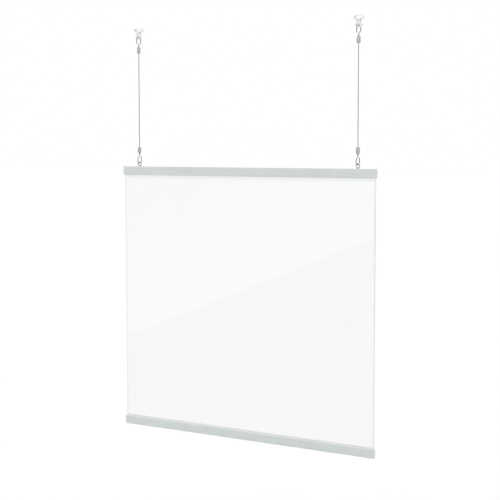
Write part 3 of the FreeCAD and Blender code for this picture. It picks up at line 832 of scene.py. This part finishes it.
@dataclass
class StrandedCable:
    """Steel cable of six strands laid round a core, three strands across, in metres."""

    wide: float = 3.0 * MM
    lay: float = 20.0 * MM
    strands: int = 6
    strands_across: int = 3
    wires: int = 6
    wire_steps: int = 4
    rows_per_lay: int = 16
    wire_turns: float = -1.6
    lobe: float = 0.14
    route_order: int = 3
    route_steps: int = 16
    route_shares: tuple[float, ...] = (0.0, 0.2, 0.5, 0.8, 1.0)

    def route(self, name: str, start: Vector, end: Vector) -> np.ndarray:
        """Points read from the NURBS line that the cable follows.

        Args:
            name: name of the helper curve.
            start: upper end.
            end: lower end.

        Returns:
            Points along the line, as rows of XYZ.
        """
        curve = bpy.data.curves.new(name, "CURVE")
        curve.dimensions = "3D"
        spline = curve.splines.new("NURBS")
        spline.points.add(len(self.route_shares) - 1)
        for point, share in zip(spline.points, self.route_shares):
            point.co = (*start.lerp(end, share), 1.0)
        spline.order_u = self.route_order
        spline.use_endpoint_u = True
        spline.resolution_u = self.route_steps
        helper = bpy.data.objects.new(name, curve)
        bpy.context.scene.collection.objects.link(helper)
        bpy.context.view_layer.update()
        graph = bpy.context.evaluated_depsgraph_get()
        traced = bpy.data.meshes.new_from_object(helper.evaluated_get(graph))
        points = np.empty(3 * len(traced.vertices))
        traced.vertices.foreach_get("co", points)
        bpy.data.objects.remove(helper)
        bpy.data.meshes.remove(traced)
        bpy.data.curves.remove(curve)
        return points.reshape(-1, 3)

    def build(self, name: str, path: np.ndarray) -> bpy.types.Object:
        """Build the strands round the path.

        A strand's middle turns round the path: path + q (cos t, sin t), where t grows by a full turn
        in each lay. Its section has six lobes, r = w (1 + e cos(6 (a - k))), one for each outer wire,
        and k turns along the strand the other way. The core is a plain round strand.

        Args:
            name: the piece's name.
            path: points along the cable's middle line.

        Returns:
            The cable's object.
        """
        reach = distances(path)
        rows = int(reach[-1] / self.lay * self.rows_per_lay) + 2
        station = np.linspace(0.0, reach[-1], rows)
        middle = read_along(station, reach, path)
        strand = self.wide / self.strands_across / 2
        angle = np.linspace(0.0, 2 * np.pi, self.wires * self.wire_steps, endpoint=False)
        shell = Shell()
        self.add_strand(shell, middle, np.full((rows, len(angle)), strand), angle)
        for number in range(self.strands):
            turn = 2 * np.pi * (station / self.lay + number / self.strands)
            twist = self.wire_turns * turn[:, None]
            swell = 1.0 + self.lobe * np.cos(self.wires * (angle - twist))
            round_path = 2 * strand * np.column_stack([np.cos(turn), np.sin(turn), np.zeros(rows)])
            self.add_strand(shell, middle + round_path, strand * swell / (1.0 + self.lobe), angle)
        return shell.make(name)

    @staticmethod
    def add_strand(shell: Shell, middle: np.ndarray, radius: np.ndarray, angle: np.ndarray) -> None:
        """Add one strand with level sections: middle + r (cos a, -sin a), going down.

        Args:
            shell: the mesh so far.
            middle: the strand's middle line, from the top.
            radius: radius by row and column.
            angle: angle of each column.
        """
        flat = np.stack([radius * np.cos(angle), -radius * np.sin(angle), np.zeros_like(radius)], axis=2)
        shell.add_rings(middle[:, None, :] + flat)


@dataclass
class CableHanger:
    """One hanger: eyelet, lower hook and barrel, cable, upper barrel and hook."""

    side: Side
    upper_turn: float = -30.0
    lower_turn: float = -17.0

    def node(self, part: str) -> str:
        """Name of this hanger's CAD node for a part."""
        return f"{self.side.value}_{part}"

    def to_place(self, end: End) -> Matrix:
        """Move from a barrel's frame to its place on this hanger.

        Args:
            end: which end of the cable.

        Returns:
            The matrix; the lower end is turned over.
        """
        low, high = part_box(self.node(f"{end.value}_barrel"))
        middle = (low.x + high.x) / 2
        if end is End.UPPER:
            turn = Matrix.Rotation(math.radians(self.upper_turn), 4, "Z")
            return Matrix.Translation((middle, 0.0, high.z)) @ turn
        turn = Matrix.Rotation(math.radians(self.lower_turn), 4, "Z") @ Matrix.Rotation(math.pi, 4, "X")
        return Matrix.Translation((middle, 0.0, low.z)) @ turn

    def build_turned(self, rings: np.ndarray, part: str, end: End, looped: bool) -> bpy.types.Object:
        """Build a hook or barrel and put it in its place.

        Args:
            rings: its points in the barrel's frame.
            part: its plain name.
            end: which end of the cable.
            looped: whether its rings loop.

        Returns:
            The object.
        """
        place = np.array(self.to_place(end))
        shell = Shell()
        shell.add_rings(rings @ place[:3, :3].T + place[:3, 3], looped)
        return shell.make(f"{self.side.value}_{end.value}_{part}_metal")

    def build_cable(self) -> bpy.types.Object:
        """Returns:
            The cable's object.
        """
        low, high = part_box(self.node("cable"))
        middle = (low.x + high.x) / 2
        cable = StrandedCable()
        name = f"{self.side.value}_cable_strands"
        path = cable.route(f"{name}_line", Vector((middle, 0.0, high.z)), Vector((middle, 0.0, low.z)))
        piece = cable.build(name, path)
        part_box(self.node("upper_barrel"))[0].z
        return piece

    def dress(self, finishes: dict[str, bpy.types.Material]) -> None:
        """Build the wire, turned and stranded pieces and give every piece its finish.

        Args:
            finishes: materials by plain name.
        """
        cable = self.build_cable()
        paint(cable, finishes["cable"])
        stand_for(cable, self.node("cable"))
        paint(frame["nodes"][self.node("eyelet")], finishes["eyelet"])
        for end in End:
            hook = self.build_turned(WireHook().rings(), "hook", end, False)
            barrel = self.build_turned(EndBarrel().rings(), "barrel", end, True)
            paint(hook, finishes["hook"])
            paint(barrel, finishes["barrel"])
            stand_for(hook, self.node(f"{end.value}_hook"))
            stand_for(barrel, self.node(f"{end.value}_barrel"))
            paint(frame["nodes"][self.node(f"{end.value}_plug")], finishes["hook"])
            paint(frame["nodes"][self.node(f"{end.value}_ferrule")], finishes["ferrule"])


@dataclass
class CeilingClips:
    """Both scissor clips, which keep their CAD shapes."""

    arms: tuple[str, ...] = ("clip_front_arm", "clip_rear_arm")
    pin: str = "clip_pin"

    def dress(self) -> None:
        """Give the arms and rivets their milky plastic."""
        arm_plastic = CLIP_PLASTIC.material()
        pin_plastic = PIN_PLASTIC.material()
        for side in Side:
            for arm in self.arms:
                paint(frame["nodes"][f"{side.value}_{arm}"], arm_plastic)
            paint(frame["nodes"][f"{side.value}_{self.pin}"], pin_plastic)


@dataclass(frozen=True)
class SoftLamp:
    """Broad, distant lamp, which lights the floor and the object evenly."""

    name: str
    azimuth: float
    elevation: float
    strength: float
    spread: float = 50.0

    def build(self) -> None:
        """Make the lamp; azimuth 0 is in front of the screen, and 90 is to its right."""
        light = bpy.data.lights.new(self.name, "SUN")
        light.energy = self.strength
        light.angle = math.radians(self.spread)
        turn = math.radians(self.azimuth)
        rise = math.radians(self.elevation)
        way = Vector((math.sin(turn) * math.cos(rise), -math.cos(turn) * math.cos(rise), math.sin(rise)))
        lamp = bpy.data.objects.new(self.name, light)
        lamp.rotation_euler = way.to_track_quat("Z", "Y").to_euler()
        bpy.context.scene.collection.objects.link(lamp)

    def on_floor(self) -> float:
        """Light that a level white floor sends back: strength times sin(elevation) over pi."""
        return self.strength * math.sin(math.radians(self.elevation)) / math.pi


@dataclass
class Studio:
    """Floor, reflected card, soft light and camera, in metres."""

    floor_level: float = -2.3
    floor_half: float = 80.0
    floor_tone: float = 0.80
    floor_contrast: float = 0.005
    floor_cells: float = 3.0
    floor_octaves: float = 4.0
    floor_roughness: float = 0.9
    floor_spare: float = 0.008
    sky_light: float = 0.62
    card_depth: float = -2.5
    card_left: tuple[float, float] = (-2.364, -1.482)
    card_right: tuple[float, float] = (-0.760, -0.843)
    card_low: float = -2.12
    card_high: float = 0.7
    card_sides: tuple[float, float] = (-3.1, 0.1)
    card_below: float = 0.37
    card_edge: float = 1.0
    card_above: float = 0.67
    card_fade: float = 0.9
    camera_place: Triple = (2.048, -3.269, -0.3650)
    camera_yaw: float = 31.74
    camera_pitch: float = -4.853
    camera_roll: float = -0.04
    focal_pixels: float = 1244.0
    sensor: float = 36.0
    lamps: tuple[SoftLamp, ...] = (
        SoftLamp("key_lamp", 25.0, 48.0, 0.9),
        SoftLamp("fill_lamp", -60.0, 40.0, 0.5),
        SoftLamp("rear_lamp", 170.0, 50.0, 0.5),
    )

    def build(self) -> None:
        """Build the whole studio."""
        bpy.context.scene.view_settings.view_transform = "Standard"
        self.build_floor()
        self.build_card()
        self.build_sky()
        for lamp in self.lamps:
            lamp.build()
        self.build_camera()

    def flat_piece(self, name: str, corners: np.ndarray) -> bpy.types.Object:
        """Flat stage piece of one quad.

        Args:
            name: its name.
            corners: four corners, in order.

        Returns:
            The object.
        """
        mesh = bpy.data.meshes.new(name)
        mesh.from_pydata(corners.tolist(), [], [[0, 1, 2, 3]])
        piece = bpy.data.objects.new(name, mesh)
        bpy.context.scene.collection.objects.link(piece)
        return piece

    def build_floor(self) -> None:
        """Pale floor that keeps shadows, with a glow that makes it just white where nothing shades it."""
        signs = np.array([(-1, -1), (1, -1), (1, 1), (-1, 1)])
        corners = np.column_stack([self.floor_half * signs, np.full(4, self.floor_level)])
        floor = self.flat_piece("floor", corners)
        sheet = new_sheet("pale_floor")
        cloud = sheet.noise((self.floor_cells,) * 3, self.floor_octaves)
        grey = (self.floor_tone,) * 3
        dark, light = (scaled(grey, 1.0 + sign * self.floor_contrast) for sign in (-1, 1))
        sheet.join(sheet.tone(cloud, dark, light), sheet.shader.inputs["Base Color"])
        sheet.shader.inputs["Roughness"].default_value = self.floor_roughness
        sheet.shader.inputs["Specular IOR Level"].default_value = 0.0
        lit = self.floor_tone * (self.sky_light + sum(lamp.on_floor() for lamp in self.lamps))
        glow = sheet.add("ShaderNodeEmission")
        level = sheet.add("ShaderNodeMath", operation="MULTIPLY")
        level.inputs[1].default_value = 1.0 + self.floor_spare - lit
        both = sheet.add("ShaderNodeAddShader")
        sheet.join(sheet.seen_rays(), level.inputs[0])
        sheet.join(level.outputs["Value"], glow.inputs["Strength"])
        sheet.join(sheet.shader.outputs["BSDF"], both.inputs[0])
        sheet.join(glow.outputs["Emission"], both.inputs[1])
        sheet.join(both.outputs["Shader"], sheet.output.inputs["Surface"])
        paint(floor, sheet.owner)

    def build_card(self) -> None:
        """Studio card with a slanted edge, seen only in reflections, as a window is in the sheet.

        Its brightness is a plain level below the slanted line from card_left to card_right, and above
        it falls off with the height over the line.
        """
        left, right = self.card_sides
        low, high = self.card_low, self.card_high
        corners = np.array([(left, low), (right, low), (right, high), (left, high)])
        card = self.flat_piece(
            "reflected_card",
            np.column_stack([corners[:, 0], np.full(4, self.card_depth), corners[:, 1]]),
        )
        slope = (self.card_right[1] - self.card_left[1]) / (self.card_right[0] - self.card_left[0])
        sheet = new_sheet("card_glow")
        coords = sheet.add("ShaderNodeTexCoord")
        parts = sheet.add("ShaderNodeSeparateXYZ")
        line = sheet.add("ShaderNodeMath", operation="MULTIPLY_ADD")
        line.inputs[1].default_value = -slope
        line.inputs[2].default_value = slope * self.card_left[0] - self.card_left[1]
        height = sheet.add("ShaderNodeMath", operation="ADD")
        fall = sheet.add("ShaderNodeMapRange", interpolation_type="SMOOTHSTEP")
        fall.inputs["From Max"].default_value = self.card_fade
        fall.inputs["To Min"].default_value = self.card_edge
        fall.inputs["To Max"].default_value = self.card_above
        over = sheet.add("ShaderNodeMath", operation="GREATER_THAN")
        over.inputs[1].default_value = 0.0
        glow = sheet.add("ShaderNodeMix", data_type="FLOAT")
        glow.inputs["A"].default_value = self.card_below
        light = sheet.add("ShaderNodeEmission")
        sheet.join(coords.outputs["Object"], parts.inputs["Vector"])
        sheet.join(parts.outputs["X"], line.inputs[0])
        sheet.join(parts.outputs["Z"], height.inputs[0])
        sheet.join(line.outputs["Value"], height.inputs[1])
        sheet.join(height.outputs["Value"], fall.inputs["Value"])
        sheet.join(height.outputs["Value"], over.inputs[0])
        sheet.join(over.outputs["Value"], glow.inputs["Factor"])
        sheet.join(fall.outputs["Result"], glow.inputs["B"])
        sheet.join(glow.outputs["Result"], light.inputs["Strength"])
        sheet.join(light.outputs["Emission"], sheet.output.inputs["Surface"])
        paint(card, sheet.owner)
        card.visible_camera = False
        card.visible_diffuse = False
        card.visible_transmission = False
        card.visible_volume_scatter = False
        card.visible_shadow = False

    def build_sky(self) -> None:
        """White surroundings for what is seen, and a plain soft light for the rest."""
        sheet = NodeSheet(bpy.data.worlds.new("studio_sky"))
        bpy.context.scene.world = sheet.owner
        sheet.shader.inputs["Color"].default_value = (1.0, 1.0, 1.0, 1.0)
        level = sheet.add("ShaderNodeMath", operation="MULTIPLY_ADD")
        level.inputs[1].default_value = 1.0 - self.sky_light
        level.inputs[2].default_value = self.sky_light
        sheet.join(sheet.seen_rays(), level.inputs[0])
        sheet.join(level.outputs["Value"], sheet.shader.inputs["Strength"])

    def build_camera(self) -> None:
        """Camera at the photo's place: its back is up x right, from the yaw, pitch and roll."""
        yaw = math.radians(self.camera_yaw)
        pitch = math.radians(self.camera_pitch)
        ahead = Vector((-math.sin(yaw) * math.cos(pitch), math.cos(yaw) * math.cos(pitch), math.sin(pitch)))
        right = Vector((math.cos(yaw), math.sin(yaw), 0.0))
        up = right.cross(ahead)
        stand = Matrix((right, up, -ahead)).transposed().to_4x4()
        roll = Matrix.Rotation(math.radians(self.camera_roll), 4, "Z")
        lens = bpy.data.cameras.new("photo_camera")
        lens.sensor_width = self.sensor
        lens.lens = self.focal_pixels * self.sensor / PICTURE_PIXELS
        camera = bpy.data.objects.new("photo_camera", lens)
        camera.matrix_world = Matrix.Translation(self.camera_place) @ stand @ roll
        bpy.context.scene.collection.objects.link(camera)
        bpy.context.scene.camera = camera


def main() -> None:
    """Build and dress the hanging screen, then its studio."""
    logging.basicConfig(level=logging.INFO, format="%(name)s %(message)s")
    Studio().build()
    hanger_finishes = {
        "cable": CABLE_STEEL.material(),
        "eyelet": EYELET_ZINC.material(),
        "hook": HOOK_NICKEL.material(),
        "barrel": BARREL_NICKEL.material(),
        "ferrule": FERRULE_ALUMINIUM.material(),
    }
    for side in Side:
        CableHanger(side).dress(hanger_finishes)
    ClearScreen().dress()
    SnapRails().dress()
    CeilingClips().dress()


if __name__ == "__main__":
    main()
